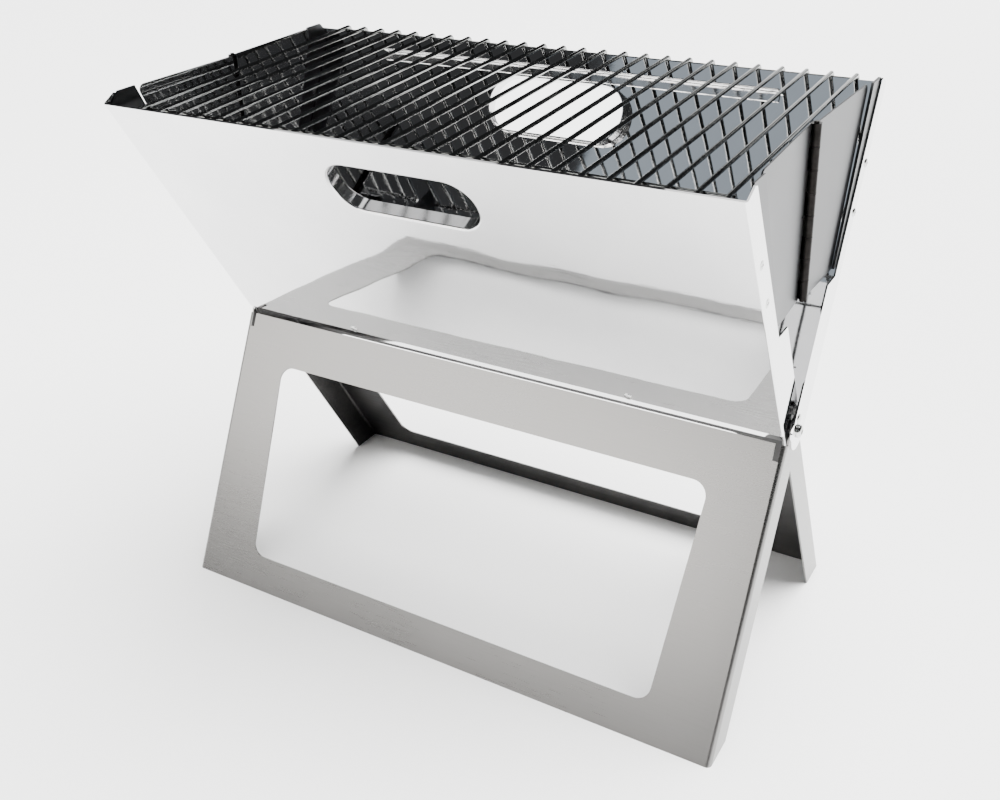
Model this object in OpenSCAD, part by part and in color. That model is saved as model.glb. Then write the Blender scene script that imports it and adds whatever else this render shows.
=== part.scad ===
// Folding camp grill: two crossed sheet-steel members on a shared pivot line.
// The outer member is the rear wall with the front leg frame, the inner member
// is the front wall with the rear leg frame. X is across the grill, Y runs from
// front to back and Z is up. The origin is on the ground under the middle.

/* [Frame] */
// Outside width over the outer member's flanges
outer_w = 452; // [380:1:520]
// Outside width over the inner member's flanges
inner_w = 445; // [373:1:513]
// Height of the pivot line above the ground
pivot_h = 193; // [180:1:205]
// Lean of each member from the vertical
lean = 28.4; // [27:0.1:30]
// Length of a wall above the pivot line
wall_len = 228.7; // [222:0.1:232]
// Depth of a member from its wall face to its leg face
member_d = 29; // [28:0.5:30]
// Sheet thickness
sheet = 1.2; // [1:0.1:1.2]

/* [Walls] */
// Length of the carrying slot
slot_l = 109; // [90:1:130]
// Height of the carrying slot
slot_h = 41; // [32:1:44]
// Distance of the slot's middle from the pivot line
slot_s = 185.5; // [180:0.5:190]
// Visible width of a wall's flange beside the side leaves
flange_w = 13.5; // [12:0.5:14]
// Length of the inward lip along a wall's lower edge
lip_len = 16; // [10:1:17]
// Bend of that lip from the wall
lip_bend = 20; // [15:1:24]

/* [Leg frames] */
// Height of the rail next to the pivot line
top_rail = 36; // [30:1:42]
// Height of the rail next to the ground
foot_rail = 27; // [22:1:34]
// Width of an upright at the top
stile_top = 41; // [36:1:46]
// Width of an upright at the foot
stile_foot = 49; // [42:1:54]
// Corner radius of the window
window_r = 11; // [6:1:14]

/* [Side leaves] */
// Height of the leaves' lower edge above the pivot line
leaf_low = 91.7; // [88:0.1:95]
// Height of the leaves' upper edge above the pivot line
leaf_high = 200.5; // [196:0.5:202]
// Thickness of a leaf
leaf_t = 1; // [0.8:0.1:1]
// Angle by which each leaf stands folded in when the grill is open
leaf_rest = 2; // [1.5:0.5:5]
// Outside diameter of the centre hinge's barrel
barrel_d = 6.4; // [5.6:0.1:6.8]
// Diameter of the centre hinge's pin
hinge_pin_d = 3; // [2.5:0.1:3.2]
// Knuckles of the centre hinge
knuckles = 8; // [4:2:10]

/* [Grates] */
// Bars in the cooking grate
grate_bars = 26; // [20:1:26]
// Diameter of the bars of both grates
bar_d = 2.8; // [2.4:0.1:3]
// Distance between the outer bars of the cooking grate
grate_span = 412; // [380:1:412]
// Bars in the charcoal grate
coal_bars = 21; // [15:1:25]
// Distance between the outer bars of the charcoal grate
coal_span = 350; // [300:1:350]

/* [Fasteners] */
// Diameter of the pivot bolts
pivot_d = 5; // [4:0.1:5.5]
// Diameter of the small rivets
rivet_d = 4; // [3:0.1:4]

/* [Hidden] */
$fn = 48;

half_d = member_d / 2;
face_gap = 0.5;                          // room left between folded members
reach = half_d - sheet - face_gap;       // how far a flange may reach over the middle
outer_x = outer_w / 2;
inner_x = inner_w / 2;
fit = 0.05;                              // radial room of a running fit
wall_start = 13;                         // wall's bend above the pivot line
leg_start = 10.4;                        // leg face's edge below the pivot line
foot_s = (pivot_h + half_d * sin(lean)) / cos(lean);
wall_top_y = wall_len * sin(lean) + half_d * cos(lean);
wall_top_z = pivot_h + wall_len * cos(lean) - half_d * sin(lean);
bar_r = bar_d / 2;
hook_r = bar_d + 0.2;                    // bend of the cooking grate's rear hooks
hook_out = 1.7;                          // where the hooks start behind the rear wall
shift_y = -(hook_out + hook_r + bar_r) / 2;   // centres the whole depth on the origin

// ---- places -------------------------------------------------------------
// Both members are drawn in one local frame: X across, Y through the member
// from wall face to leg face, Z along it from the pivot line to the wall's top.
module inner_place() {
    translate([0, shift_y, pivot_h]) rotate([lean, 0, 0]) children();
}
module outer_place() {
    translate([0, shift_y, pivot_h]) rotate([-lean, 0, 0]) mirror([0, 1, 0]) children();
}
module both_sides() {
    children();
    mirror([1, 0, 0]) children();
}
// Extrudes a [y, z] outline along X from x0 to x1.
module plate_x(x0, x1) {
    translate([x0, 0, 0]) rotate([90, 0, 90]) linear_extrude(x1 - x0) children();
}
// Extrudes an [x, z] outline along Y from y0 to y1.
module plate_y(y0, y1) {
    translate([0, y1, 0]) rotate([90, 0, 0]) linear_extrude(y1 - y0) children();
}
module rod_x(d, x0, x1, y, z) {
    translate([x0, y, z]) rotate([0, 90, 0]) cylinder(d = d, h = x1 - x0);
}
module round_rect(w, h, r) {
    square([w - 2 * r, h], center = true);
    square([w, h - 2 * r], center = true);
    for (sx = [-1, 1], sz = [-1, 1])
        translate([sx * (w / 2 - r), sz * (h / 2 - r)]) circle(r = r);
}

// ---- walls --------------------------------------------------------------
step_z = leaf_low - 3;                   // the flange widens just below the leaves
function at_height(y, z) = (z - y * sin(lean)) / cos(lean);
function along(y, z) = [y, at_height(y, z)];
flange_edge = flange_w - half_d;
rivet_at = [5.5, 8];                     // frame rivet from the pivot, [y, z]
screw_y = 5 - half_d;
screw_s = [144, 176];
lip_y = lip_len * sin(lip_bend);
lip_z = lip_len * cos(lip_bend);

module wall_flange_outline() {
    polygon([[-reach, 0], [reach, 0], along(reach, step_z), along(flange_edge, step_z),
             [flange_edge, wall_len], [-half_d, wall_len], [-half_d, wall_start],
             [-reach, wall_start]]);
    circle(r = reach);
}
module wall_flange(x) {
    difference() {
        plate_x(x - sheet, x) wall_flange_outline();
        rod_x(pivot_d + 2 * fit, x - 2 * sheet, x + sheet, 0, 0);
        rod_x(rivet_d, x - 2 * sheet, x + sheet, rivet_at.x, rivet_at.y);
        for (s = screw_s) rod_x(rivet_d, x - 2 * sheet, x + sheet, screw_y, s);
    }
}
lip_half = inner_x - 2 * sheet - face_gap;   // between the innermost flanges
module lip() {
    plate_x(-lip_half, lip_half)
        polygon([[-half_d, wall_start], [-half_d + lip_y, wall_start - lip_z],
                 [-half_d + lip_y + sheet, wall_start - lip_z], [-half_d + sheet, wall_start]]);
}
ledge_rivets_x = 115;
coal_rivet_s = wall_start + 3;
module wall(x) {
    difference() {
        union() {
            translate([-x, -half_d, wall_start]) cube([2 * x, sheet, wall_len - wall_start]);
            lip();
            both_sides() wall_flange(x);
        }
        plate_y(-half_d - sheet, -half_d + 2 * sheet)
            translate([0, slot_s]) round_rect(slot_l, slot_h, slot_h / 2 - 1);
        for (sx = [-1, 1])
            translate([sx * ledge_rivets_x, -half_d - sheet, coal_rivet_s])
                rotate([-90, 0, 0]) cylinder(d = rivet_d, h = 3 * sheet);
    }
}
module front_wall() {
    color("gainsboro") inner_place() wall(inner_x);
}
module rear_wall() {
    color("gainsboro") outer_place() wall(outer_x);
}

// The rolled rim of a slot: a ring standing inward from the wall's inner face.
rim_d = 9;
rim_t = 1;
module slot_rim() {
    plate_y(-half_d + sheet, -half_d + sheet + rim_d)
        translate([0, slot_s]) difference() {
            round_rect(slot_l + 2 * rim_t, slot_h + 2 * rim_t, slot_h / 2 - 1 + rim_t);
            round_rect(slot_l, slot_h, slot_h / 2 - 1);
        }
}
module front_slot_rim() {
    color("silver") inner_place() slot_rim();
}
module rear_slot_rim() {
    color("silver") outer_place() slot_rim();
}

// ---- leg frames ---------------------------------------------------------
arm_top = 16;
leg_reach = 10;                          // a leg flange is shallower below its arm
arm_low = leg_start + 14;
notch = [4.5, 11];
module window() {
    z0 = leg_start + top_rail;
    z1 = foot_s - foot_rail;
    w0 = inner_x - stile_top;
    w1 = inner_x - stile_foot;
    slope = (w0 - w1) / (z1 - z0);
    r = window_r;
    // Corner centres follow the slanted uprights.
    c0 = w0 - r - slope * r;
    c1 = w1 - r + slope * r;
    polygon([[-c0, -z0], [c0, -z0], [c0 + r, -z0 - r], [c1 + r, -z1 + r], [c1, -z1],
             [-c1, -z1], [-c1 - r, -z1 + r], [-c0 - r, -z0 - r]]);
    for (sx = [-1, 1]) {
        translate([sx * c0, -z0 - r]) circle(r = r);
        translate([sx * c1, -z1 + r]) circle(r = r);
    }
}
module leg_flange_outline() {
    polygon([[-reach, 0], [reach, 0], [reach, -leg_start], [half_d, -leg_start],
             [half_d, -foot_s - member_d], [-leg_reach, -foot_s - member_d],
             [-leg_reach, -arm_low], [-reach, -leg_start]]);
    translate([-reach, 0]) square([2 * reach, arm_top - reach]);
    translate([0, arm_top - reach]) circle(r = reach);
}
module leg_flange(x) {
    difference() {
        plate_x(x - sheet, x) leg_flange_outline();
        rod_x(pivot_d + 2 * fit, x - 2 * sheet, x + sheet, 0, 0);
        rod_x(rivet_d, x - 2 * sheet, x + sheet, rivet_at.x, rivet_at.y);
    }
}
module leg_frame(x) {
    plate_y(half_d - sheet, half_d) difference() {
        translate([-x, -foot_s - member_d]) square([2 * x, foot_s + member_d - leg_start]);
        window();
        for (sx = [-1, 1])
            translate([sx * (x - sheet - notch.x / 2), -leg_start - notch.y / 2])
                square([notch.x, notch.y], center = true);
    }
    both_sides() leg_flange(x);
}
module above_ground() {
    translate([-outer_w, -outer_w, 0]) cube(2 * outer_w);
}
module rear_leg_frame() {
    color("darkgray") intersection() {
        inner_place() leg_frame(inner_x - sheet);
        above_ground();
    }
}
module front_leg_frame() {
    color("darkgray") intersection() {
        outer_place() leg_frame(outer_x - sheet);
        above_ground();
    }
}

// ---- ledges inside the walls -------------------------------------------
ledge_s = wall_len - 12.5;
ledge_w = 7.5;
coal_ledge_s = 40;
coal_ledge_w = 7;
ledge_half = 160;                        // clear of the leaves as they fold in
coal_ledge_half = inner_x - 12;
module ledge(s, w, x) {
    y0 = sheet - half_d;
    translate([-x, y0, s - w]) cube([2 * x, sheet, w]);
    translate([-x, y0, s - sheet]) cube([2 * x, w, sheet]);
}
module coal_ledge() {
    difference() {
        union() {
            translate([-coal_ledge_half, sheet - half_d, wall_start])
                cube([2 * coal_ledge_half, sheet, coal_ledge_s - wall_start]);
            ledge(coal_ledge_s, coal_ledge_w, coal_ledge_half);
        }
        for (sx = [-1, 1])
            translate([sx * ledge_rivets_x, -half_d - sheet, coal_rivet_s])
                rotate([-90, 0, 0]) cylinder(d = rivet_d, h = 5 * sheet);
    }
}
module front_grate_ledge() {
    color("silver") inner_place() ledge(ledge_s, ledge_w, ledge_half);
}
module rear_grate_ledge() {
    color("silver") outer_place() ledge(ledge_s, ledge_w, ledge_half);
}
module front_coal_ledge() {
    color("silver") inner_place() coal_ledge();
}
module rear_coal_ledge() {
    color("silver") outer_place() coal_ledge();
}
module ledge_rivet_pair() {
    for (sx = [-1, 1])
        translate([sx * ledge_rivets_x, -half_d, coal_rivet_s]) rotate([-90, 0, 0]) {
            cylinder(d = rivet_d, h = 2 * sheet);
            translate([0, 0, 2 * sheet]) cylinder(d = 1.5 * rivet_d, h = 0.8);
            translate([0, 0, -1]) cylinder(d1 = rivet_d, d2 = 1.7 * rivet_d, h = 1);
        }
}
module front_ledge_rivets() {
    color("gray") inner_place() ledge_rivet_pair();
}
module rear_ledge_rivets() {
    color("gray") outer_place() ledge_rivet_pair();
}

// ---- side leaves --------------------------------------------------------
// The leaves of a side turn on the centre hinge's pin. The pin is drawn upright
// here, its foot on the pivot line, and the open grill has it tipped inward.
hinge_x = inner_x - 1;
front_set = -barrel_d / 2;               // inner face of a front leaf from the pin's axis
rear_set = -0.5;                         // and of a rear leaf, nearer its wider flange
rear_tab = barrel_d / 2 - 0.6;           // a rear leaf's tabs start inside the barrel
gusset_half = 27.5;                      // half the angle between the leaves' outer edges
hinge_tilt = atan(tan(gusset_half) * sin(leaf_rest));
leaf_edge_low = 51.8;                    // half width of the gusset along its lower edge
leaf_edge_high = 93.8;                   // and along its upper edge
leaf_corner = 4;
barrel_gap = 0.25;
tab_end = barrel_d / 2 + 0.8;            // where a knuckle's tab ends on its plate
knuckle_gap = 0.3;
knuckle_len = (leaf_high - leaf_low) / knuckles;
slit = [3.2, 0.8];                       // relief cut in both leaves at the hinge's middle

edge_dir = [leaf_edge_high - leaf_edge_low, leaf_high - leaf_low];
function leaf_edge(z) = leaf_edge_low + (z - leaf_low) * edge_dir.x / edge_dir.y;

module hinge_place() {
    translate([hinge_x, shift_y, pivot_h]) rotate([0, -hinge_tilt, 0]) children();
}
module knuckle(i, set, start) {
    translate([0, 0, leaf_low + i * knuckle_len + knuckle_gap / 2])
        difference() {
            union() {
                cylinder(d = barrel_d, h = knuckle_len - knuckle_gap);
                translate([set, start, 0]) cube([leaf_t, tab_end - start, knuckle_len - knuckle_gap]);
            }
            translate([0, 0, -1])
                cylinder(d = hinge_pin_d + 2 * fit, h = knuckle_len + 2);
        }
}
// A leaf that spreads toward +Y from the pin; first is 0 or 1, its lowest knuckle,
// set its inner face and start the place where its tabs leave the barrel.
module leaf(first, set, start) {
    near = max(0, -set - leaf_t);        // the plate's nearest layer to the pin
    clear = barrel_d / 2 + barrel_gap;
    inner = sqrt(clear * clear - near * near);
    r = leaf_corner;
    // The rounded corner's centre lies r inside both the top and the slanted edge.
    cy = leaf_edge(leaf_high - r) - r * norm(edge_dir) / edge_dir.y;
    plate_x(set, set + leaf_t) {
        difference() {
            polygon([[inner, leaf_low], [leaf_edge_low, leaf_low],
                     [leaf_edge(leaf_high - 1.5 * r), leaf_high - 1.5 * r],
                     [cy, leaf_high - r], [cy, leaf_high], [inner, leaf_high]]);
            translate([tab_end, leaf_low + knuckles / 2 * knuckle_len - slit.y / 2])
                square(slit);
        }
        intersection() {
            translate([cy, leaf_high - r]) circle(r = r);
            polygon([[cy - r, leaf_high - 2 * r], [leaf_edge(leaf_high - 2 * r), leaf_high - 2 * r],
                     [leaf_edge(leaf_high + r), leaf_high + r], [cy - r, leaf_high + r]]);
        }
    }
    for (i = [first : 2 : knuckles - 1]) knuckle(i, set, start);
}
module rear_leaf() {
    hinge_place() rotate([0, 0, -leaf_rest]) leaf(1, rear_set, rear_tab);
}
module front_leaf() {
    hinge_place() rotate([0, 0, leaf_rest]) mirror([0, 1, 0]) leaf(0, front_set, 0);
}
module right_front_leaf() {
    color("lightsteelblue") front_leaf();
}
module right_rear_leaf() {
    color("lightsteelblue") rear_leaf();
}
module left_front_leaf() {
    color("lightsteelblue") mirror([1, 0, 0]) front_leaf();
}
module left_rear_leaf() {
    color("lightsteelblue") mirror([1, 0, 0]) rear_leaf();
}
module hinge_pin() {
    hinge_place() translate([0, 0, leaf_low - 1])
        cylinder(d = hinge_pin_d, h = leaf_high - leaf_low + 2);
}
module right_hinge_pin() {
    color("dimgray") hinge_pin();
}
module left_hinge_pin() {
    color("dimgray") mirror([1, 0, 0]) hinge_pin();
}

// ---- strips that close the joint between a flange and its leaf ----------
strip_foot = leaf_low + 2;
strip_in = 2 - half_d;                   // edge of the strip behind the flange
strip_out = reach - 0.1;
module strip_outline() {
    polygon([along(strip_in, strip_foot), along(flange_edge + 3, strip_foot),
             along(strip_out, leaf_high), along(flange_edge, leaf_high),
             [strip_in, wall_len - 4]]);
}
module strip(x, thick) {
    difference() {
        plate_x(x - thick, x) strip_outline();
        for (s = screw_s) rod_x(rivet_d, x - 2 * thick, x + thick, screw_y, s);
    }
}
inner_strip_t = 1;
outer_strip_t = 1.8;
module right_front_strip() {
    color("silver") inner_place() strip(inner_x - sheet, inner_strip_t);
}
module left_front_strip() {
    color("silver") mirror([1, 0, 0]) inner_place() strip(inner_x - sheet, inner_strip_t);
}
module right_rear_strip() {
    color("silver") outer_place() strip(outer_x - sheet, outer_strip_t);
}
module left_rear_strip() {
    color("silver") mirror([1, 0, 0]) outer_place() strip(outer_x - sheet, outer_strip_t);
}
// Flush inside, with a low head on the flange.
module strip_screws(x, thick, head) {
    both_sides() for (s = screw_s) {
        rod_x(rivet_d, x - sheet - thick, x, screw_y, s);
        translate([x, screw_y, s]) rotate([0, 90, 0])
            cylinder(d1 = 1.5 * rivet_d, d2 = rivet_d, h = head);
    }
}
module front_strip_screws() {
    color("gray") inner_place() strip_screws(inner_x, inner_strip_t, 0.7);
}
module rear_strip_screws() {
    color("gray") outer_place() strip_screws(outer_x, outer_strip_t, 1);
}

// ---- pivots and frame rivets -------------------------------------------
washer_d = 12;
washer_t = outer_x - inner_x - 2 * sheet;
head_h = 2.6;
nut_h = 3.4;
nut_x = inner_x - 2 * sheet - 0.1;
module pivot_place() {
    translate([0, shift_y, pivot_h]) children();
}
module pivot_bolt() {
    pivot_place() {
        rod_x(pivot_d, nut_x - nut_h - 1, outer_x + 0.1, 0, 0);
        translate([outer_x + 0.1, 0, 0]) rotate([0, 90, 0])
            cylinder(d1 = 1.8 * pivot_d, d2 = 1.2 * pivot_d, h = head_h);
    }
}
module pivot_nut() {
    pivot_place() difference() {
        translate([nut_x - nut_h, 0, 0]) rotate([0, 90, 0]) cylinder(d = 9.2, h = nut_h, $fn = 6);
        rod_x(pivot_d, nut_x - 2 * nut_h, nut_x + 1, 0, 0);
    }
}
module right_pivot_bolt() {
    color("dimgray") pivot_bolt();
}
module left_pivot_bolt() {
    color("dimgray") mirror([1, 0, 0]) pivot_bolt();
}
module right_pivot_nut() {
    color("dimgray") pivot_nut();
}
module left_pivot_nut() {
    color("dimgray") mirror([1, 0, 0]) pivot_nut();
}
module pivot_washers() {
    color("gray") pivot_place() both_sides() difference() {
        rod_x(washer_d, outer_x - 2 * sheet - washer_t + 0.1, outer_x - 2 * sheet, 0, 0);
        rod_x(pivot_d + 2 * fit, inner_x - 1, outer_x, 0, 0);
    }
}
module frame_rivets(x, out, in) {
    both_sides() {
        rod_x(rivet_d, x - 2 * sheet, x, rivet_at.x, rivet_at.y);
        if (out > 0) rod_x(1.6 * rivet_d, x, x + out, rivet_at.x, rivet_at.y);
        if (in > 0) rod_x(1.6 * rivet_d, x - 2 * sheet - in, x - 2 * sheet, rivet_at.x, rivet_at.y);
    }
}
module outer_frame_rivets() {
    color("dimgray") outer_place() frame_rivets(outer_x, 1, 0);
}
module inner_frame_rivets() {
    color("dimgray") inner_place() frame_rivets(inner_x, 0, 1);
}

// ---- cooking grate ------------------------------------------------------
// The bars run from the front ledge up over the rear wall's top edge.
ledge_top_z = pivot_h + ledge_s * cos(lean) - (half_d - sheet - ledge_w) * sin(lean);
bar_front = [-wall_top_y + 8, ledge_top_z + bar_r];
bar_rear = [wall_top_y + hook_out, wall_top_z + sheet * sin(lean) + bar_r + 0.3];
bar_rise = atan2(bar_rear.y - bar_front.y, bar_rear.x - bar_front.x);
bar_len = norm(bar_rear - bar_front);
module bar() {
    translate([0, bar_front.x, bar_front.y]) rotate([bar_rise, 0, 0]) {
        rotate([-90, 0, 0]) cylinder(r = bar_r, h = bar_len);
        translate([0, bar_len, -hook_r]) rotate([0, -90, 0])
            rotate_extrude(angle = 90) translate([hook_r, 0]) circle(r = bar_r);
    }
}
module spread(count, span) {
    for (i = [0 : count - 1])
        translate([(i / (count - 1) - 0.5) * span, 0, 0]) children();
}
module grate_bars() {
    color("silver") translate([0, shift_y, 0]) spread(grate_bars, grate_span) bar();
}
wire_gap = 0.02;
wire_half = grate_span / 2 + 2;
// A wire under the bars, at a distance from their front ends.
module cross_wire(distance, drop) {
    translate([0, bar_front.x, bar_front.y]) rotate([bar_rise, 0, 0])
        rod_x(bar_d, -wire_half, wire_half, distance, -drop);
}
module grate_cross_wires() {
    color("silver") translate([0, shift_y, 0]) {
        cross_wire(16, bar_d + wire_gap);
        cross_wire(bar_len, hook_r);
    }
}

// ---- charcoal grate -----------------------------------------------------
// It lies level across the two coal ledges.
coal_y = (coal_ledge_s * sin(lean)) + (half_d - 2 * sheet - 3) * cos(lean);
coal_z = pivot_h + coal_ledge_s * cos(lean) - (half_d - sheet - coal_ledge_w) * sin(lean)
         + bar_r + 0.4;
module coal_bars() {
    color("dimgray") translate([0, shift_y, coal_z + bar_d + wire_gap])
        spread(coal_bars, coal_span)
            translate([0, -coal_y, 0]) rotate([-90, 0, 0]) cylinder(r = bar_r, h = 2 * coal_y);
}
module coal_frame_wires() {
    color("dimgray") translate([0, shift_y, coal_z])
        for (y = [-coal_y + 4, coal_y - 4])
            rod_x(bar_d, -coal_span / 2 - bar_r, coal_span / 2 + bar_r, y, 0);
}

rear_wall();
front_leg_frame();
front_wall();
rear_leg_frame();
front_slot_rim();
rear_slot_rim();
front_grate_ledge();
rear_grate_ledge();
front_coal_ledge();
rear_coal_ledge();
right_front_leaf();
right_rear_leaf();
left_front_leaf();
left_rear_leaf();
right_hinge_pin();
left_hinge_pin();
right_front_strip();
left_front_strip();
right_rear_strip();
left_rear_strip();
front_strip_screws();
rear_strip_screws();
right_pivot_bolt();
left_pivot_bolt();
right_pivot_nut();
left_pivot_nut();
pivot_washers();
outer_frame_rivets();
inner_frame_rivets();
front_ledge_rivets();
rear_ledge_rivets();
grate_bars();
grate_cross_wires();
coal_bars();
coal_frame_wires();
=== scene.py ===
"""Looks for a folding camp grill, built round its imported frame.

Two members of bent sheet cross on one pivot line. A member's own frame has X across the grill,
Y through the member from its wall's face to its leg frame's face, and Z along it from the pivot line.
Lengths below are millimetres, and turn into metres when a mesh is made.
"""
import math

import bmesh
import bpy
from mathutils import Matrix, Vector, geometry


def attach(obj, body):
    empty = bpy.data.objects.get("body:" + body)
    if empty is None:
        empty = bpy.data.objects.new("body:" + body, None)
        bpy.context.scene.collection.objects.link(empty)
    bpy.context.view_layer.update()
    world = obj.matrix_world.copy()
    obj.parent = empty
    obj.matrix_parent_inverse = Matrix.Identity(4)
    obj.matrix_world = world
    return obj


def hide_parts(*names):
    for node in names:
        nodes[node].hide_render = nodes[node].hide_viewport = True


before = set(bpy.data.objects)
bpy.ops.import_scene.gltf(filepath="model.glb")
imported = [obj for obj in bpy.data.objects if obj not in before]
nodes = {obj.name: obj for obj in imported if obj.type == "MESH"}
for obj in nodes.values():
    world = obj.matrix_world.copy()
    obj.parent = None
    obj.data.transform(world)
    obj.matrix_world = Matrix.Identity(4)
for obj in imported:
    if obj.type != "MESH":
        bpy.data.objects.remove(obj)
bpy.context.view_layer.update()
scene = bpy.context.scene

MM = 0.001
# Faces that meet at more than this are shaded with a sharp edge
SHARP = math.radians(32)
OUT, IN = "outer_member", "inner_member"

# The members: their lean, pivot line, depth and outside half widths
LEAN = math.radians(28.4)
PIVOT_H = 193.0
SHIFT_Y = -3.05
HALF_D = 14.5
SHEET = 1.2
OUTER_X = 226.0
INNER_X = 222.5

# The walls: side flanges with a rounded ear at the pivot, and a bent lower lip
REACH = HALF_D - SHEET - 0.5
WALL_LEN = 228.7
WALL_START = 13.0
FLANGE_W = 13.5
STEP_Z = 88.7
BEND_R = 1.7
LIP_LEN = 16.0
LIP_BEND = math.radians(20)
LIP_R = 2.0
LIP_HALF = INNER_X - 2 * SHEET - 0.5
LIP_CORNER = 2.5
FLANGE_CORNER = 2.0

# The carrying slots and their rolled rims
SLOT_L = 109.0
SLOT_H = 41.0
SLOT_S = 185.5
ROLL = 1.0
RIM_R = 1.6
RIM_D = 10.2
RIM_T = 1.0

# The leg frames: one window between two rails and two slanted stiles
LEG_START = 10.4
LEG_REACH = 10.0
LEG_BEND_R = 3.4
TOP_RAIL = 36.0
FOOT_RAIL = 27.0
STILE_TOP = 41.0
STILE_FOOT = 49.0
WINDOW_R = 11.0
ARM_TOP = 16.0
ARM_LOW = LEG_START + 14.0
NOTCH_W = 4.0
NOTCH_H = 11.0
FOOT_S = (PIVOT_H + HALF_D * math.sin(LEAN)) / math.cos(LEAN)

# The angles that carry the grates
LEDGE_HALF = 160.0
LEDGE_TOP = WALL_LEN - 12.5
LEDGE_W = 7.5
COAL_LEDGE_HALF = INNER_X - 12
COAL_LEDGE_TOP = 40.0
COAL_LEDGE_W = 7.0

# Fasteners and their holes
BOLT_HOLE_R = 2.55
RIVET_HOLE_R = 2.0
RIVET_Y = 5.5
RIVET_S = 8.0
SCREW_Y = 5.0 - HALF_D
SCREW_S = (144.0, 176.0)
LEDGE_RIVET_X = 115.0
LEDGE_RIVET_S = 16.0


# ---------------------------------------------------------------- places
def inner_place(x, y, z):
    """A point of the inner member, given across, through and along it."""
    c, s = math.cos(LEAN), math.sin(LEAN)
    return Vector((x, SHIFT_Y + y * c - z * s, PIVOT_H + y * s + z * c))


def outer_place(x, y, z):
    """The same for the outer member, which leans the other way."""
    c, s = math.cos(LEAN), math.sin(LEAN)
    return Vector((x, SHIFT_Y - y * c + z * s, PIVOT_H + y * s + z * c))


def pivot_place(x, y, z):
    """A point given from the middle of the pivot line, upright."""
    return Vector((x, SHIFT_Y + y, PIVOT_H + z))


# ---------------------------------------------------------------- materials
class Shader:
    """A principled material with a few named nodes to hand."""

    def __init__(self, name, base, metallic, roughness):
        self.mat = bpy.data.materials.new(name)
        self.mat.use_nodes = True
        self.tree = self.mat.node_tree
        self.bsdf = self.tree.nodes["Principled BSDF"]
        self.bsdf.inputs["Base Color"].default_value = (*base, 1)
        self.bsdf.inputs["Metallic"].default_value = metallic
        self.bsdf.inputs["Roughness"].default_value = roughness
        self.coords = self.tree.nodes.new("ShaderNodeTexCoord")

    def link(self, a, b):
        self.tree.links.new(a, b)

    def noise(self, scale, detail=2.0, stretch=(1, 1, 1), rough=0.5):
        mapping = self.tree.nodes.new("ShaderNodeMapping")
        mapping.inputs["Scale"].default_value = stretch
        self.link(self.coords.outputs["Object"], mapping.inputs["Vector"])
        node = self.tree.nodes.new("ShaderNodeTexNoise")
        node.inputs["Scale"].default_value = scale
        node.inputs["Detail"].default_value = detail
        node.inputs["Roughness"].default_value = rough
        self.link(mapping.outputs["Vector"], node.inputs["Vector"])
        return node.outputs["Fac"]

    def span(self, value, low, high, start=0.3, end=0.7):
        """Turns a noise into a number between low and high."""
        node = self.tree.nodes.new("ShaderNodeMapRange")
        node.inputs["From Min"].default_value = start
        node.inputs["From Max"].default_value = end
        node.inputs["To Min"].default_value = low
        node.inputs["To Max"].default_value = high
        self.link(value, node.inputs["Value"])
        return node.outputs["Result"]

    def tint(self, value, dark, light, start=0.3, end=0.7):
        """Turns a noise into a colour between dark and light."""
        node = self.tree.nodes.new("ShaderNodeValToRGB")
        node.color_ramp.elements[0].position = start
        node.color_ramp.elements[0].color = (*dark, 1)
        node.color_ramp.elements[1].position = end
        node.color_ramp.elements[1].color = (*light, 1)
        self.link(value, node.inputs["Fac"])
        return node.outputs["Color"]

    def math(self, kind, a, b):
        node = self.tree.nodes.new("ShaderNodeMath")
        node.operation = kind
        for socket, value in zip(node.inputs, (a, b)):
            if isinstance(value, (int, float)):
                socket.default_value = value
            else:
                self.link(value, socket)
        return node.outputs["Value"]

    def bump(self, height, distance, strength=1.0, under=None):
        node = self.tree.nodes.new("ShaderNodeBump")
        node.inputs["Strength"].default_value = strength
        node.inputs["Distance"].default_value = distance
        self.link(height, node.inputs["Height"])
        if under is not None:
            self.link(under, node.inputs["Normal"])
        return node.outputs["Normal"]

    def base(self, socket):
        self.link(socket, self.bsdf.inputs["Base Color"])

    def roughness(self, socket):
        self.link(socket, self.bsdf.inputs["Roughness"])

    def normal(self, socket):
        self.link(socket, self.bsdf.inputs["Normal"])


def polished():
    """Mirror-polished sheet: gently wavy, with faint polishing swirls and smudges."""
    s = Shader("polished_sheet", (0.84, 0.84, 0.84), 1.0, 0.03)
    smudge = s.noise(14, 4, rough=0.6)
    wipe = s.noise(90, 3, stretch=(1, 6, 6))
    s.base(s.tint(smudge, (0.80, 0.80, 0.81), (0.87, 0.87, 0.87)))
    mixed = s.math("ADD", s.math("MULTIPLY", smudge, 0.6), s.math("MULTIPLY", wipe, 0.4))
    s.roughness(s.span(mixed, 0.018, 0.045))
    wave = s.bump(s.noise(9, 1), 0.0009)
    s.normal(s.bump(wipe, 0.000004, under=wave))
    return s.mat


def brushed():
    """Brushed sheet: fine grain along the grill's width."""
    s = Shader("brushed_sheet", (0.21, 0.207, 0.203), 1.0, 0.28)
    grain = s.noise(900, 3, stretch=(0.03, 1, 1), rough=0.7)
    cloud = s.noise(7, 3)
    mixed = s.math("ADD", s.math("MULTIPLY", grain, 0.55), s.math("MULTIPLY", cloud, 0.45))
    s.base(s.tint(mixed, (0.203, 0.2, 0.196), (0.214, 0.211, 0.207), 0.38, 0.62))
    s.roughness(s.span(mixed, 0.27, 0.29, 0.38, 0.62))
    s.normal(s.bump(s.noise(6, 1), 0.0004))
    return s.mat


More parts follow.
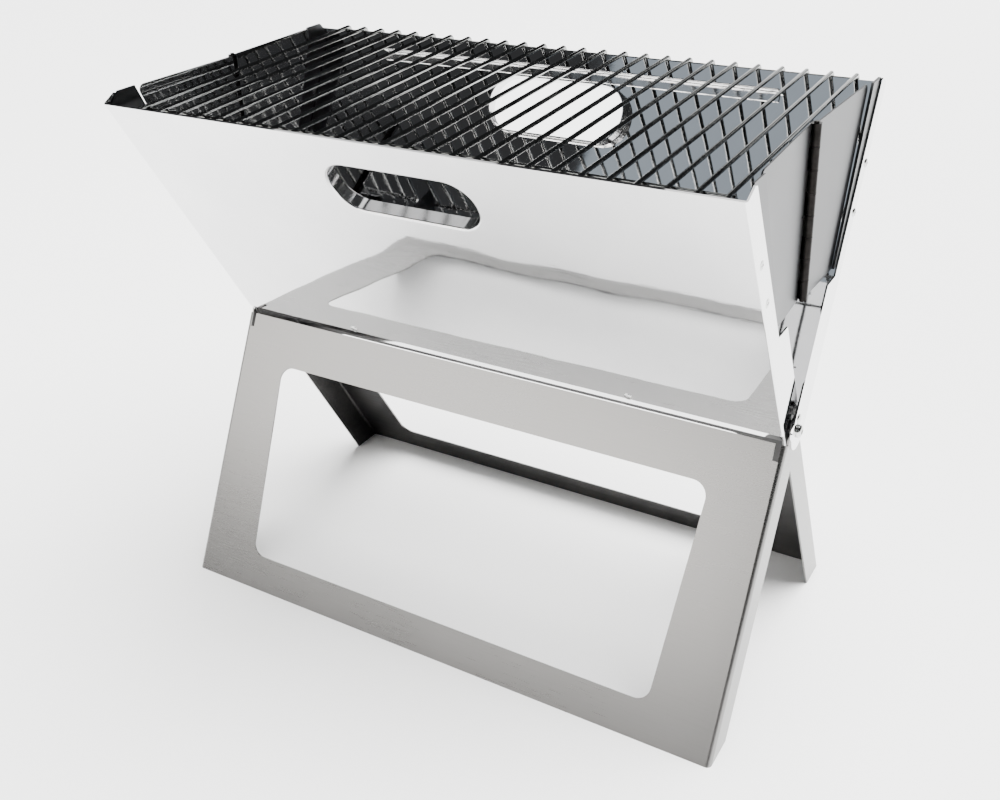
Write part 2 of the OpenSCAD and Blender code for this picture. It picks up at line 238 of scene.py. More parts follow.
def satin():
    """Smooth grey sheet of the leaves and strips."""
    s = Shader("leaf_sheet", (0.085, 0.087, 0.09), 1.0, 0.37)
    cloud = s.noise(11, 3)
    s.base(s.tint(cloud, (0.08, 0.082, 0.085), (0.09, 0.092, 0.095)))
    s.roughness(s.span(cloud, 0.34, 0.40))
    s.normal(s.bump(s.noise(10, 1), 0.0004))
    return s.mat


def rolled():
    """Bright rolled and folded edges."""
    s = Shader("rolled_edge", (0.76, 0.76, 0.76), 1.0, 0.14)
    smudge = s.noise(60, 4, rough=0.65)
    s.base(s.tint(smudge, (0.66, 0.66, 0.67), (0.80, 0.80, 0.80)))
    s.roughness(s.span(smudge, 0.10, 0.2))
    s.normal(s.bump(s.noise(45, 2), 0.00025))
    return s.mat


def wire():
    """Bright-plated wire with drawing marks along it."""
    s = Shader("grate_wire", (0.28, 0.285, 0.28), 1.0, 0.08)
    mark = s.noise(420, 3, stretch=(1, 0.15, 1), rough=0.6)
    s.base(s.tint(mark, (0.22, 0.225, 0.22), (0.34, 0.345, 0.34)))
    s.roughness(s.span(mark, 0.05, 0.12))
    s.normal(s.bump(mark, 0.00005))
    return s.mat


def inside_shade():
    """Painted shade: a near-black sheet with fine grain on the inside faces of the leg frames, standing in
    for the shade under the grill.
    """
    s = Shader("painted_shade_inside", (0.045, 0.044, 0.045), 1.0, 0.42)
    grain = s.noise(500, 4, stretch=(0.05, 1, 1), rough=0.7)
    cloud = s.noise(12, 4, rough=0.6)
    mixed = s.math("ADD", s.math("MULTIPLY", grain, 0.5), s.math("MULTIPLY", cloud, 0.5))
    s.base(s.tint(mixed, (0.03, 0.03, 0.031), (0.075, 0.072, 0.07), 0.36, 0.64))
    s.roughness(s.span(grain, 0.36, 0.5, 0.36, 0.64))
    s.normal(s.bump(grain, 0.00005))
    return s.mat


def hinge():
    """Near-black steel of the hinge barrels and pins."""
    s = Shader("hinge_steel", (0.010, 0.009, 0.009), 1.0, 0.32)
    wear = s.noise(260, 4, rough=0.65)
    s.base(s.tint(wear, (0.007, 0.0065, 0.006), (0.016, 0.0145, 0.014), 0.35, 0.75))
    s.roughness(s.span(wear, 0.28, 0.38))
    s.normal(s.bump(wear, 0.00001))
    return s.mat


def fastener():
    """Zinc-plated heads, nuts and washers."""
    s = Shader("fastener", (0.62, 0.63, 0.62), 1.0, 0.22)
    wear = s.noise(380, 4, rough=0.65)
    s.base(s.tint(wear, (0.50, 0.51, 0.50), (0.72, 0.72, 0.71)))
    s.roughness(s.span(wear, 0.15, 0.32))
    s.normal(s.bump(wear, 0.00005))
    return s.mat


MATS = {
    "polished_sheet": polished(),
    "brushed_sheet": brushed(),
    "leaf_sheet": satin(),
    "rolled_edge": rolled(),
    "grate_wire": wire(),
    "hinge_steel": hinge(),
    "painted_shade_inside": inside_shade(),
    "fastener": fastener(),
}


# ---------------------------------------------------------------- meshes
def add_piece(bm, name, slot, body, nodes_replaced):
    """Closes a bmesh in millimetres into an object that rides on a body."""
    bmesh.ops.remove_doubles(bm, verts=bm.verts, dist=0.002)
    bmesh.ops.recalc_face_normals(bm, faces=bm.faces)
    for edge in bm.edges:
        edge.smooth = len(edge.link_faces) == 2 and edge.calc_face_angle(0) < SHARP
    for face in bm.faces:
        face.smooth = True
    bm.transform(Matrix.Scale(MM, 4))
    mesh = bpy.data.meshes.new(name)
    bm.to_mesh(mesh)
    bm.free()
    obj = bpy.data.objects.new(name, mesh)
    scene.collection.objects.link(obj)
    mesh.materials.append(MATS[slot])
    mod = obj.modifiers.new("weighted", "WEIGHTED_NORMAL")
    mod.keep_sharp = True
    mod.weight = 100
    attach(obj, body)
    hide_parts(*nodes_replaced)
    return obj


def circle(cx, cy, r, count=24):
    """Points round a hole."""
    step = 2 * math.pi / count
    return [(cx + r * math.cos(i * step), cy + r * math.sin(i * step)) for i in range(count)]


def arc(cx, cy, r, a0, a1, count):
    """Points of an arc between two angles in degrees."""
    return [(cx + r * math.cos(math.radians(a0 + (a1 - a0) * i / count)),
             cy + r * math.sin(math.radians(a0 + (a1 - a0) * i / count))) for i in range(count + 1)]


def fillet(points, radii, count=4):
    """Rounds each corner of an outline by its own radius."""
    out = []
    for i, (p, r) in enumerate(zip(points, radii)):
        p, a, b = Vector(p), Vector(points[i - 1]), Vector(points[(i + 1) % len(points)])
        if r <= 0:
            out.append(tuple(p))
            continue
        u, v = (a - p).normalized(), (b - p).normalized()
        half = u.angle(v) / 2
        cut = r / math.tan(half)
        centre = p + (u + v).normalized() * r / math.sin(half)
        first, last = p + u * cut - centre, p + v * cut - centre
        turn = first.angle_signed(last)
        for k in range(count + 1):
            out.append(tuple(centre + Matrix.Rotation(-turn * k / count, 2) @ first))
    return out


def pattern(outline, holes=()):
    """A flat sheet with holes, as a triangulated bmesh in x and y."""
    loops = [[Vector((x, y, 0)) for x, y in ring] for ring in (outline, *holes)]
    bm = bmesh.new()
    verts = [bm.verts.new(p) for ring in loops for p in ring]
    for tri in geometry.tessellate_polygon(loops):
        if len(set(tri)) == 3:
            try:
                bm.faces.new([verts[i] for i in tri])
            except ValueError:
                pass
    bmesh.ops.dissolve_degenerate(bm, dist=1e-4, edges=bm.edges)
    return bm


def cut(bm, axis, at):
    """Adds edges to a mesh where a plane across an axis passes."""
    co, no = Vector((0, 0, 0)), Vector((0, 0, 0))
    co[axis], no[axis] = at, 1
    everything = bm.verts[:] + bm.edges[:] + bm.faces[:]
    bmesh.ops.bisect_plane(bm, geom=everything, dist=1e-4, plane_co=co, plane_no=no)


def cut_bends(bm, flat, turn, count=6):
    """Adds the edges that the two side bends need to come out round."""
    for k in range(count + 1):
        for side in (-1, 1):
            cut(bm, 0, side * (flat + turn * k / count))


def bent(half_x, bend_r, lip_start=None):
    """Maps a flat pattern with side flanges, and a bent lower lip, to (across, depth, along).

    Gives the map, the pattern's half width at a depth, where the bend starts and its length.
    """
    flat = half_x - bend_r
    turn = bend_r * math.pi / 2

    def to_local(u, z, d):
        side, a = (1 if u >= 0 else -1), abs(u)
        if a <= flat:
            x, w = a, d
            if lip_start is not None and z < lip_start:
                t = lip_start - z
                phi = min(t / LIP_R, LIP_BEND)
                rest = max(t - LIP_R * LIP_BEND, 0)
                w = LIP_R - (LIP_R - d) * math.cos(phi) + rest * math.sin(phi)
                z = lip_start - (LIP_R - d) * math.sin(phi) - rest * math.cos(phi)
        elif a < flat + turn:
            phi = (a - flat) / bend_r
            x = flat + (bend_r - d) * math.sin(phi)
            w = bend_r - (bend_r - d) * math.cos(phi)
        else:
            x = half_x - d
            w = bend_r + a - flat - turn
        return side * x, w, z

    def u_of(w):
        return flat + turn + w - bend_r

    return to_local, u_of, flat, turn


def thick(bm, to_local, face_y, into, place, inside_slot=0):
    """Bends a flat pattern and gives it the sheet's thickness and its inside material."""
    out = bmesh.new()

    def put(co, d):
        x, w, z = to_local(co.x, co.y, d)
        return out.verts.new(place(x, face_y + into * w, z))

    outer = {v: put(v.co, 0.0) for v in bm.verts}
    inner = {v: put(v.co, SHEET) for v in bm.verts}
    for f in bm.faces:
        out.faces.new([outer[v] for v in f.verts])
        out.faces.new([inner[v] for v in reversed(f.verts)]).material_index = inside_slot
    for e in bm.edges:
        if len(e.link_faces) == 1:
            a, b = e.verts
            out.faces.new([outer[a], outer[b], inner[b], inner[a]])
    bm.free()
    return out


def mirrored(right):
    """A closed outline from its right half, which runs from bottom to top."""
    return right + [(-x, y) for x, y in reversed(right)]


def slot_outline(grow, count=10):
    """The carrying slot's outline, as (x, along, outward x, outward along)."""
    r = SLOT_H / 2 - 1
    cx, cz = SLOT_L / 2 - r, SLOT_H / 2 - r
    pts = []
    for sx, sz, a0 in ((1, 1, 0), (-1, 1, 90), (-1, -1, 180), (1, -1, 270)):
        for i in range(count + 1):
            a = math.radians(a0 + 90 * i / count)
            ox, oz = math.cos(a), math.sin(a)
            pts.append((sx * cx + (r + grow) * ox, SLOT_S + sz * cz + (r + grow) * oz, ox, oz))
    return pts


def at_height(y, z):
    """How far along a member a height above the pivot line is, at a depth."""
    return (z - y * math.sin(LEAN)) / math.cos(LEAN)


def build_wall(name, half_x, place, body):
    """A wall with its side flanges, pivot ears, bent lip, slot and fastener holes."""
    lip_start = WALL_START + LIP_R * math.tan(LIP_BEND / 2)
    lip_end = lip_start - (LIP_LEN - LIP_R * math.tan(LIP_BEND / 2) + LIP_R * LIP_BEND)
    to_local, u_of, flat, turn = bent(half_x, BEND_R, lip_start)
    step_in = at_height(REACH, STEP_Z)
    step_out = at_height(FLANGE_W - HALF_D, STEP_Z)
    lip = [(LIP_HALF - LIP_CORNER, lip_end), (LIP_HALF, lip_end + LIP_CORNER), (LIP_HALF, WALL_START),
           (u_of(HALF_D - REACH), WALL_START)]
    ear = [(u_of(HALF_D + y), z) for y, z in arc(0, 0, REACH, 180, 360, 16)]
    flange = [(u_of(HALF_D + REACH), step_in), (u_of(FLANGE_W), step_out),
              (u_of(FLANGE_W), WALL_LEN - FLANGE_CORNER), (u_of(FLANGE_W - FLANGE_CORNER), WALL_LEN),
              (flat, WALL_LEN)]
    holes = [[(x, z) for x, z, _, _ in slot_outline(ROLL)]]
    for side in (-1, 1):
        holes.append(circle(side * u_of(HALF_D), 0, BOLT_HOLE_R))
        holes.append(circle(side * u_of(HALF_D + RIVET_Y), RIVET_S, RIVET_HOLE_R, 16))
        holes.append(circle(side * LEDGE_RIVET_X, LEDGE_RIVET_S, RIVET_HOLE_R, 16))
        for s in SCREW_S:
            holes.append(circle(side * u_of(HALF_D + SCREW_Y), s, RIVET_HOLE_R, 16))
    bm = pattern(mirrored(lip + ear + flange), holes)
    cut_bends(bm, flat, turn)
    for k in range(4):
        cut(bm, 1, lip_start - LIP_R * LIP_BEND * k / 3)
    bm = thick(bm, to_local, -HALF_D, 1, place)
    add_piece(bm, name + "_sheet", "polished_sheet", body, [name])


def build_leg(name, half_x, place, body):
    """A leg frame, cut off level at the floor."""
    to_local, u_of, flat, turn = bent(half_x, LEG_BEND_R)
    below_floor = -FOOT_S - 2 * HALF_D
    notch_x = flat - NOTCH_W
    right = [(u_of(HALF_D + LEG_REACH), below_floor), (u_of(HALF_D + LEG_REACH), -ARM_LOW),
             (u_of(HALF_D + REACH), -LEG_START)]
    right += [(u_of(HALF_D - y), z) for y, z in arc(0, ARM_TOP - REACH, REACH, 180, 0, 16)]
    right += [(flat + turn, -LEG_START), (flat, -LEG_START), (flat, -LEG_START - NOTCH_H),
              (notch_x, -LEG_START - NOTCH_H), (notch_x, -LEG_START)]
    top, foot = LEG_START + TOP_RAIL, FOOT_S - FOOT_RAIL
    top_x, foot_x = INNER_X - STILE_TOP, INNER_X - STILE_FOOT
    slope = (top_x - foot_x) / (foot - top)
    top_c = top_x - WINDOW_R - slope * WINDOW_R
    foot_c = foot_x - WINDOW_R + slope * WINDOW_R
    window = arc(foot_c, WINDOW_R - foot, WINDOW_R, -90, 0, 8)
    window += arc(top_c, -top - WINDOW_R, WINDOW_R, 0, 90, 8)
    holes = [mirrored(window)]
    for side in (-1, 1):
        holes.append(circle(side * u_of(HALF_D), 0, BOLT_HOLE_R))
        holes.append(circle(side * u_of(HALF_D - RIVET_Y), RIVET_S, RIVET_HOLE_R, 16))
    bm = pattern(mirrored(right), holes)
    cut_bends(bm, flat, turn)
    bm = thick(bm, to_local, HALF_D, -1, place, inside_slot=1)
    bmesh.ops.remove_doubles(bm, verts=bm.verts, dist=0.002)
    everything = bm.verts[:] + bm.edges[:] + bm.faces[:]
    bmesh.ops.bisect_plane(bm, geom=everything, dist=1e-4, plane_co=(0, 0, 0), plane_no=(0, 0, 1),
                           clear_inner=True)
    open_edges = [e for e in bm.edges if len(e.link_faces) == 1]
    caps = bmesh.ops.holes_fill(bm, edges=open_edges, sides=0)["faces"]
    bmesh.ops.triangulate(bm, faces=caps)
    obj = add_piece(bm, name + "_sheet", "brushed_sheet", body, [name])
    # The inside faces take the second material: painted shade, a near-black sheet where the shade under the
    # grill falls.
    obj.data.materials.append(MATS["painted_shade_inside"])
    return obj


def build_rim(name, place, body):
    """A slot's rolled edge: over from the wall's face, then straight in."""
    inner = ROLL - RIM_R
    back = inner + RIM_T
    turns = [math.radians(90 * i / 6) for i in range(7)]
    skin = [(ROLL - RIM_R * math.sin(a), RIM_R - RIM_R * math.cos(a)) for a in turns]
    tip = [(inner, RIM_D - 0.4), (inner + 0.3, RIM_D), (inner + 0.8, RIM_D), (back, RIM_D - 0.4)]
    profile = skin + tip + [(back, SHEET + 1.0), (back + 0.4, SHEET), (ROLL, SHEET)]
    bm = bmesh.new()
    rows = []
    for x, z, ox, oz in slot_outline(0, 12):
        rows.append([bm.verts.new(place(x + o * ox, -HALF_D + d, z + o * oz)) for o, d in profile])
    for i, row in enumerate(rows):
        following = rows[(i + 1) % len(rows)]
        for k in range(len(profile)):
            m = (k + 1) % len(profile)
            bm.faces.new([row[k], row[m], following[m], following[k]])
    add_piece(bm, name + "_roll", "rolled_edge", body, [name])


def sweep_x(outline, x0, x1, place):
    """A closed [y, z] outline carried along X."""
    bm = bmesh.new()
    ends = [[bm.verts.new(place(x, y, z)) for y, z in outline] for x in (x0, x1)]
    for k in range(len(outline)):
        m = (k + 1) % len(outline)
        bm.faces.new([ends[0][k], ends[0][m], ends[1][m], ends[1][k]])
    for row in ends:
        bm.faces.new(row)
    return bm


def build_ledge(name, half, top, width, foot, place, body):
    """A folded angle inside a wall: one leg on the wall, one standing off it."""
    y0 = SHEET - HALF_D
    y1 = y0 + width
    outline = fillet([(y0, foot), (y0, top), (y1, top), (y1, top - SHEET),
                      (y0 + SHEET, top - SHEET), (y0 + SHEET, foot)],
                     [0, 1.6, 0.5, 0.5, 0.4, 0])
    bm = sweep_x(outline, -half, half, place)
    add_piece(bm, name + "_angle", "rolled_edge", body, [name])


build_wall("rear_wall", OUTER_X, outer_place, OUT)
build_wall("front_wall", INNER_X, inner_place, IN)
build_leg("front_leg_frame", OUTER_X - SHEET, outer_place, OUT)
rear_leg = build_leg("rear_leg_frame", INNER_X - SHEET, inner_place, IN)
WALLS = (("rear", outer_place, OUT), ("front", inner_place, IN))
for word, place, body in WALLS:
    build_rim(word + "_slot_rim", place, body)
for word, place, body in WALLS:
    build_ledge(word + "_grate_ledge", LEDGE_HALF, LEDGE_TOP, LEDGE_W, LEDGE_TOP - LEDGE_W, place, body)
for word, place, body in WALLS:
    build_ledge(word + "_coal_ledge", COAL_LEDGE_HALF, COAL_LEDGE_TOP, COAL_LEDGE_W, WALL_START, place, body)


# ---------------------------------------------------------------- fasteners
def hexagon(flat_r, a):
    """Distance from the middle to a hexagon's edge at an angle."""
    sixth = math.pi / 3
    return flat_r / math.cos((a + sixth / 2) % sixth - sixth / 2)


def turned(rings, count=48, hollow=False):
    """A round piece from rings of (radius, height), where each may be a function of angle.

    Its two ends are closed flat, or joined to each other where the piece is hollow.
    """
    bm = bmesh.new()
    rows = []
    for radius, height in rings:
        row = []
        for i in range(count):
            a = 2 * math.pi * i / count
            r = radius(a) if callable(radius) else radius
            h = height(a) if callable(height) else height
            row.append(bm.verts.new((r * math.cos(a), r * math.sin(a), h)))
        rows.append(row)
    uppers = rows[1:] + rows[:1] if hollow else rows[1:]
    for low, high in zip(rows, uppers):
        for i in range(count):
            k = (i + 1) % count
            bm.faces.new([low[i], low[k], high[k], high[i]])
    if not hollow:
        bm.faces.new(list(reversed(rows[0])))
        bm.faces.new(rows[-1])
    return bm


def turned_at(bm, place, x, y, z, axis):
    """Stands a turned piece, with its height along the local direction of axis, in a member."""
    origin = place(x, y, z)
    w = (place(x + axis[0], y + axis[1], z + axis[2]) - origin).normalized()
    side = Vector((0, 0, 1)) if abs(w.z) < 0.9 else Vector((1, 0, 0))
    u = side.cross(w).normalized()
    v = w.cross(u)
    bm.transform(Matrix.Translation(origin) @ Matrix((u, v, w)).transposed().to_4x4())
    return bm


def joined(parts):
    """One mesh from several."""
    out = bmesh.new()
    for bm in parts:
        mesh = bpy.data.meshes.new("part")
        bm.to_mesh(mesh)
        bm.free()
        out.from_mesh(mesh)
        bpy.data.meshes.remove(mesh)
    return out


# A shank is this much slimmer than its hole, and a dome's rim is this thick
SHANK_FIT = 0.02
DOME_RIM = 0.12


def shank(sink):
    """The rings of a shank that reaches down through the sheets."""
    return [(RIVET_HOLE_R - SHANK_FIT, -sink), (RIVET_HOLE_R - SHANK_FIT, 0.0)]


def dome(r, h, sink, count=5):
    """A rivet: shank below, low dome above."""
    rings = shank(sink) + [(r, 0.0), (r, DOME_RIM)]
    for i in range(1, count):
        a = math.radians(90 * i / count)
        rings.append((r * math.cos(a), DOME_RIM + (h - DOME_RIM) * math.sin(a)))
    rings.append((0.12 * r, h))
    return turned(rings, 32)


def screw_head(r, h, sink):
    """A low pan head with a cross recess."""
    arm_len, arm_half, recess = 0.62 * r, 0.34, 0.45 * h

    def crossed(ring_r, top):
        def height(a):
            x, y = abs(ring_r * math.cos(a)), abs(ring_r * math.sin(a))
            inside = min(x, y) < arm_half and max(x, y) < arm_len
            return top - recess if inside else top
        return height

    rings = shank(sink) + [(r, 0.0), (0.9 * r, 0.3 * h), (0.78 * r, 0.62 * h)]
    for k in (0.7, 0.64, 0.6, 0.5, 0.4, 0.3, 0.2, 0.1):
        rings.append((k * r, crossed(k * r, h * (1 - 0.38 * k * k))))
    return turned(rings, 64)


def build_strip_screws(name, half_x, strip_t, head_h, place, body):
    """The screws that hold a hinge strip to each flange."""
    parts = []
    for side in (-1, 1):
        for s in SCREW_S:
            bm = screw_head(3.0, head_h, SHEET + strip_t)
            parts.append(turned_at(bm, place, side * half_x, SCREW_Y, s, (side, 0, 0)))
    add_piece(joined(parts), name + "_heads", "fastener", body, [name])


def build_frame_rivets(name, x, facing, place, body):
    """The rivets that hold a wall to its leg frame, with their heads facing out (1) or in (-1)."""
    parts = []
    for side in (-1, 1):
        bm = dome(3.2, 1.0, 2 * SHEET)
        parts.append(turned_at(bm, place, side * x, RIVET_Y, RIVET_S, (side * facing, 0, 0)))
    add_piece(joined(parts), name + "_heads", "fastener", body, [name])


def build_ledge_rivets(name, place, body):
    """The rivets of a charcoal ledge, with a head on each face."""
    sink = SHEET - 0.05
    parts = []
    for side in (-1, 1):
        x = side * LEDGE_RIVET_X
        parts.append(turned_at(dome(3.4, 1.0, sink), place, x, -HALF_D, LEDGE_RIVET_S, (0, -1, 0)))
        inside_y = -HALF_D + 2 * SHEET
        parts.append(turned_at(dome(3.0, 0.8, sink), place, x, inside_y, LEDGE_RIVET_S, (0, 1, 0)))
    add_piece(joined(parts), name + "_heads", "fastener", body, [name])


build_strip_screws("front_strip_screws", INNER_X, 1.0, 0.45, inner_place, IN)
build_strip_screws("rear_strip_screws", OUTER_X, 1.8, 1.0, outer_place, OUT)
build_frame_rivets("outer_frame_rivets", OUTER_X, 1, outer_place, OUT)
build_frame_rivets("inner_frame_rivets", INNER_X - 2 * SHEET, -1, inner_place, IN)
build_ledge_rivets("front_ledge_rivets", inner_place, IN)
build_ledge_rivets("rear_ledge_rivets", outer_place, OUT)

# The pivot bolts, from under the head, and their nuts
BOLT_X = OUTER_X + 0.1
BOLT_R = 2.45
THREAD_ROOT_R = 2.2
THREAD_PITCH = 0.8
HEAD_H = 2.6
SOCKET_R = 1.6
SOCKET_D = 1.5
NUT_X = INNER_X - 2 * SHEET - 0.1
NUT_H = 3.4
NUT_BORE_R = 2.5
NUT_FLAT_R = 4.6 * math.cos(math.pi / 6)


def build_pivot(side, word):
    """A bolt with a button head and a hex socket, and its chamfered hex nut."""
    length = BOLT_X - (NUT_X - NUT_H - 1)

    def socket_r(a):
        return hexagon(SOCKET_R, a)

    rings = [(1.9, -length), (BOLT_R, -length + 0.6)]
    z = -length + 0.6
    while z < -length + NUT_H + 0.5:
        rings += [(BOLT_R, z + 0.25), (THREAD_ROOT_R, z + 0.45), (BOLT_R, z + 0.65)]
        z += THREAD_PITCH
    # The button head, then the socket sunk in it
    rings += [(BOLT_R, -0.02), (4.4, 0.0), (4.5, 0.3), (4.35, 1.1), (3.9, 1.8), (3.2, 2.3), (2.5, 2.55),
              (socket_r, HEAD_H), (socket_r, HEAD_H - SOCKET_D), (0.3, HEAD_H - SOCKET_D - 0.2)]
    bolt = turned_at(turned(rings), pivot_place, side * BOLT_X, 0, 0, (side, 0, 0))
    add_piece(bolt, word + "_pivot_bolt_head", "fastener", "pivot_bolts", [word + "_pivot_bolt"])

    def body_r(a):
        return hexagon(NUT_FLAT_R, a)

    def low_edge(a):
        return (hexagon(NUT_FLAT_R, a) - NUT_FLAT_R) * 0.6

    def high_edge(a):
        return NUT_H - low_edge(a)

    rings = [(NUT_BORE_R, 0.0), (NUT_FLAT_R, 0.0), (body_r, low_edge),
             (body_r, high_edge), (NUT_FLAT_R, NUT_H), (NUT_BORE_R, NUT_H)]
    nut = turned_at(turned(rings, hollow=True), pivot_place, side * NUT_X, 0, 0, (-side, 0, 0))
    add_piece(nut, word + "_pivot_nut_hex", "fastener", "pivot_bolts", [word + "_pivot_nut"])


build_pivot(1, "right")
build_pivot(-1, "left")


# ---------------------------------------------------------------- side leaves
# Heights above the pivot line, the leaf's width at each, and its swing when the grill is open
LEAF_LOW, LEAF_HIGH = 91.7, 200.5
LEAF_EDGE_LOW, LEAF_EDGE_HIGH = 51.8, 93.8
LEAF_REST = math.radians(2)
LEAF_T = 1.0
LEAF_CORNER = 4.0

# The hinge: its pin, and how far each leaf's inside face is set from the pin's axis
HINGE_X = INNER_X - 1.0
GUSSET_HALF = math.radians(27.5)
HINGE_TILT = math.atan(math.tan(GUSSET_HALF) * math.sin(LEAF_REST))
BARREL_R = 3.2
PIN_R = 1.5
BORE_R = PIN_R + 0.06
FRONT_SET, REAR_SET = -BARREL_R, -0.5
KNUCKLES = 8
KNUCKLE_LEN = (LEAF_HIGH - LEAF_LOW) / KNUCKLES
KNUCKLE_GAP = 0.3
CLEAR_R = BARREL_R + 0.25
TAB_END = BARREL_R + 0.8

# A slit into the leaf from its hinge side, at half height
NOTCH_END = TAB_END + 3.2
NOTCH_HALF = 0.4


def leaf_place(side, front):
    """A leaf's own frame: the hinge pin upright at the origin, the leaf along +Y."""
    swing = LEAF_REST if front else -LEAF_REST
    cos_swing, sin_swing = math.cos(swing), math.sin(swing)
    cos_tilt, sin_tilt = math.cos(HINGE_TILT), math.sin(HINGE_TILT)

    def place(x, y, z):
        if front:
            y = -y
        x, y = x * cos_swing - y * sin_swing, x * sin_swing + y * cos_swing
        x, z = x * cos_tilt - z * sin_tilt, x * sin_tilt + z * cos_tilt
        return Vector((side * (HINGE_X + x), SHIFT_Y + y, PIVOT_H + z))

    return place


def build_plate(body, place, inside):
    """A leaf's flat plate: satin outside, polished inside, with its edges eased."""
    near = max(0, -inside - LEAF_T)
    inner = math.sqrt(CLEAR_R ** 2 - near ** 2)
    mid = (LEAF_LOW + LEAF_HIGH) / 2
    outline = fillet([(inner, LEAF_LOW), (LEAF_EDGE_LOW, LEAF_LOW), (LEAF_EDGE_HIGH, LEAF_HIGH),
                      (inner, LEAF_HIGH), (inner, mid + NOTCH_HALF), (NOTCH_END, mid + NOTCH_HALF),
                      (NOTCH_END, mid - NOTCH_HALF), (inner, mid - NOTCH_HALF)],
                     [0.4, 1.0, LEAF_CORNER, 0.4, 0, 0.3, 0.3, 0], 8)
    ease = 0.15
    far = inside + LEAF_T
    bm = bmesh.new()
    layers = []
    for x, pull in ((inside, ease), (inside + ease, 0), (far - ease, 0), (far, ease)):
        ring = []
        for k, point in enumerate(outline):
            before, after = Vector(outline[k - 1]), Vector(outline[(k + 1) % len(outline)])
            along = (after - before).normalized()
            y, z = Vector(point) + Vector((-along.y, along.x)) * pull
            ring.append(bm.verts.new(place(x, y, z)))
        layers.append(ring)
    for low, high in zip(layers, layers[1:]):
        for k in range(len(outline)):
            m = (k + 1) % len(outline)
            bm.faces.new([low[k], low[m], high[m], high[k]])
    flat = pattern(outline)
    flat.verts.ensure_lookup_table()
    flat.verts.index_update()
    for face in flat.faces:
        order = [v.index for v in face.verts]
        bm.faces.new([layers[0][k] for k in order]).material_index = 1
        bm.faces.new([layers[-1][k] for k in reversed(order)])
    flat.free()
    plate = add_piece(bm, body + "_plate", "leaf_sheet", body, [body])
    plate.data.materials.append(MATS["polished_sheet"])


def build_knuckles(body, place, inside, first):
    """Every second knuckle from the first: a tab of the leaf, curled round the pin."""
    far = inside + LEAF_T + 0.02
    # The curl goes round the barrel, back inside the bore, and out along the tab
    if first == 0:
        curl = arc(0, 0, BARREL_R, 180, 470, 28) + arc(0, 0, BORE_R, 470, 195, 22)
        curl += [(far, 0.4), (far, TAB_END)]
    else:
        curl = arc(0, 0, BARREL_R, 106, 434, 28) + arc(0, 0, BORE_R, 434, 106, 26)
        curl += [(far, BARREL_R - 0.4), (far, TAB_END)]
    profile = [(inside, TAB_END)] + curl
    cap = geometry.tessellate_polygon([[Vector((x, y, 0)) for x, y in profile]])
    bm = bmesh.new()
    for i in range(first, KNUCKLES, 2):
        z0 = LEAF_LOW + i * KNUCKLE_LEN + KNUCKLE_GAP / 2
        z1 = z0 + KNUCKLE_LEN - KNUCKLE_GAP
        ends = [[bm.verts.new(place(x, y, z)) for x, y in profile] for z in (z0, z1)]
        for k in range(len(profile)):
            m = (k + 1) % len(profile)
            bm.faces.new([ends[0][k], ends[0][m], ends[1][m], ends[1][k]])
        for row in ends:
            for tri in cap:
                bm.faces.new([row[k] for k in tri])
    add_piece(bm, body + "_knuckles", "hinge_steel", body, [body])


for word, side in (("right", 1), ("left", -1)):
    for row, front, inside in (("front", True, FRONT_SET), ("rear", False, REAR_SET)):
        leaf = word + "_" + row + "_leaf"
        to_world = leaf_place(side, front)
        build_plate(leaf, to_world, inside)
        build_knuckles(leaf, to_world, inside, 0 if front else 1)


# ---------------------------------------------------------------- frame nodes that stay
def dress(material, *names):
    """Gives frame nodes, whose shape is right, a better material."""
    for name in names:
        nodes[name].data.materials.clear()
        nodes[name].data.materials.append(MATS[material])


dress("leaf_sheet", "right_front_strip", "right_rear_strip", "left_front_strip", "left_rear_strip")
dress("hinge_steel", "right_hinge_pin", "left_hinge_pin")
dress("fastener", "pivot_washers")
dress("grate_wire", "grate_bars", "grate_cross_wires", "coal_bars", "coal_frame_wires")


# ---------------------------------------------------------------- stage
def area(name, place, target, size, power, colour=(1, 1, 1), only=()):
    """A soft light; with a list of objects, it lights those alone."""
    light = bpy.data.lights.new(name, "AREA")
    light.shape = "RECTANGLE"
    light.size, light.size_y = size
    light.energy = power
    light.color = colour
    obj = bpy.data.objects.new(name, light)
    scene.collection.objects.link(obj)
    obj.location = place
    obj.rotation_euler = (Vector(target) - Vector(place)).to_track_quat("-Z", "Y").to_euler()
    if only:
        lit = bpy.data.collections.new(name + "_lit")
        for piece in only:
            lit.objects.link(piece)
        obj.light_linking.receiver_collection = lit


FLOOR_HALF = 40
floor_mesh = bpy.data.meshes.new("floor")
corners = [(FLOOR_HALF * x, FLOOR_HALF * y, 0) for x, y in ((-1, -1), (1, -1), (1, 1), (-1, 1))]
floor_mesh.from_pydata(corners, [], [(0, 1, 2, 3)])
floor = bpy.data.objects.new("floor", floor_mesh)
scene.collection.objects.link(floor)
paper = bpy.data.materials.new("paper")
paper.use_nodes = True
paper_inputs = paper.node_tree.nodes["Principled BSDF"].inputs
paper_inputs["Base Color"].default_value = (0.9, 0.9, 0.895, 1)
paper_inputs["Roughness"].default_value = 0.9
paper_inputs["Specular IOR Level"].default_value = 0.1
floor_mesh.materials.append(paper)

world = bpy.data.worlds.new("studio")
world.use_nodes = True
background = world.node_tree.nodes["Background"].inputs
background["Color"].default_value = (0.93, 0.96, 1.0, 1)
background["Strength"].default_value = 0.04
scene.world = world

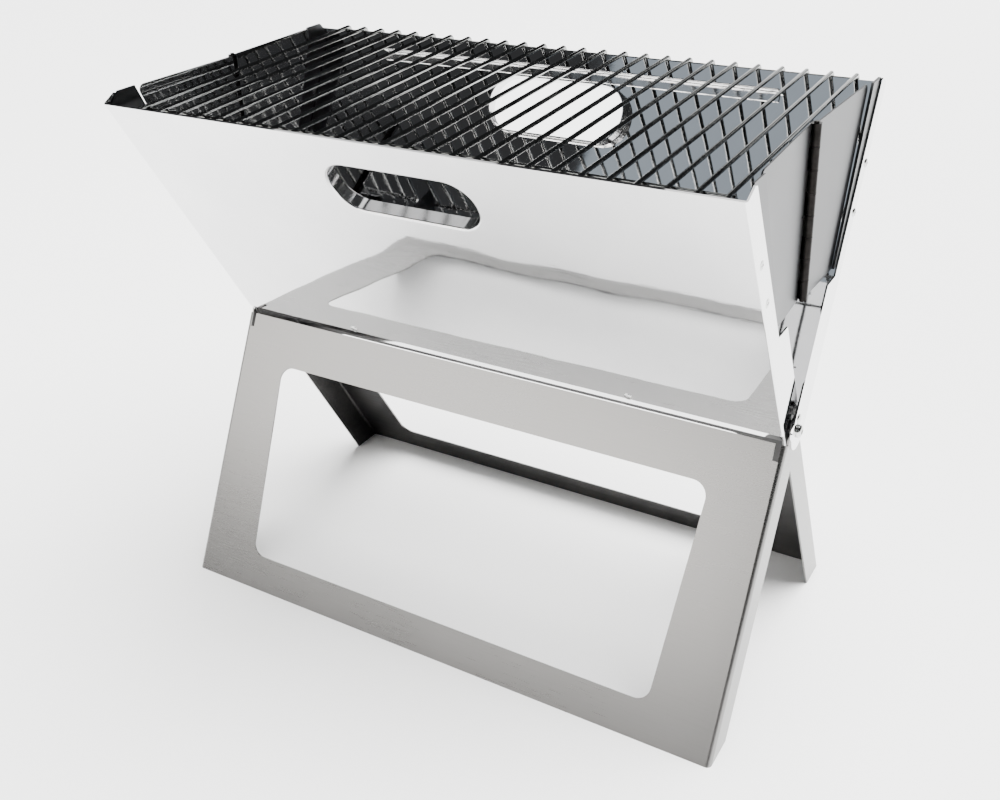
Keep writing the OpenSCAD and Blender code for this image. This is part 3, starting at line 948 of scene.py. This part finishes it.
sky = bpy.data.lights.new("sky", "SUN")
sky.energy = 16.0
sky.angle = math.radians(70)
sky_obj = bpy.data.objects.new("sky", sky)
scene.collection.objects.link(sky_obj)
sky_obj.rotation_euler = Vector((0.35, 0.25, 1.0)).to_track_quat("Z", "Y").to_euler()
sky_obj.visible_glossy = False

# The key lights the front, the rear keys the back, and the small ones above the trough's inside
WARM, COOL = (1.0, 0.98, 0.95), (0.78, 0.89, 1.0)
area("key", (-1.45, -2.65, 1.2), (0, 0, 0.15), (2.5, 1.1), 58, WARM)
area("over_lip", (-0.74, 0.12, 1.4), (-0.74, 0.12, 0), (0.45, 0.3), 0.45)
area("over_trough", (-0.45, -1.95, 1.9), (0, 0, 0.33), (1.4, 0.85), 1.6, COOL)
area("top", (-0.22, 0.12, 2.0), (-0.22, 0.12, 0), (0.5, 0.6), 1.6)
area("back", (0.9, 0.9, 2.6), (0, 0, 0.2), (1.6, 0.5), 12)
area("rear_key", (0, 3.0, 1.1), (0, 0, 0.15), (2.4, 1.2), 20)
for side in (-1, 1):
    area("rear_leg_key", (1.6 * side, 2.8, 1.95), (0, 0, 0.1), (2.6, 1.4), 60, WARM, [rear_leg])

# ---------------------------------------------------------------- camera
AZIMUTH = math.radians(31.97)
ELEVATION = math.radians(29.89)
ROLL_ANGLE = math.radians(-2.51)
level = math.cos(ELEVATION)
look = Vector((-math.sin(AZIMUTH) * level, math.cos(AZIMUTH) * level, -math.sin(ELEVATION)))
right = look.cross(Vector((0, 0, 1))).normalized()
up = right.cross(look)
cam_x = right * math.cos(ROLL_ANGLE) + up * math.sin(ROLL_ANGLE)
cam_y = up * math.cos(ROLL_ANGLE) - right * math.sin(ROLL_ANGLE)
camera_data = bpy.data.cameras.new("camera")
camera_data.sensor_width = 36
camera_data.lens = 40.97
camera = bpy.data.objects.new("camera", camera_data)
scene.collection.objects.link(camera)
turn_to = Matrix((cam_x, cam_y, -look)).transposed().to_4x4()
camera.matrix_world = Matrix.Translation((0.3932, -0.63165, 0.5831)) @ turn_to
scene.camera = camera
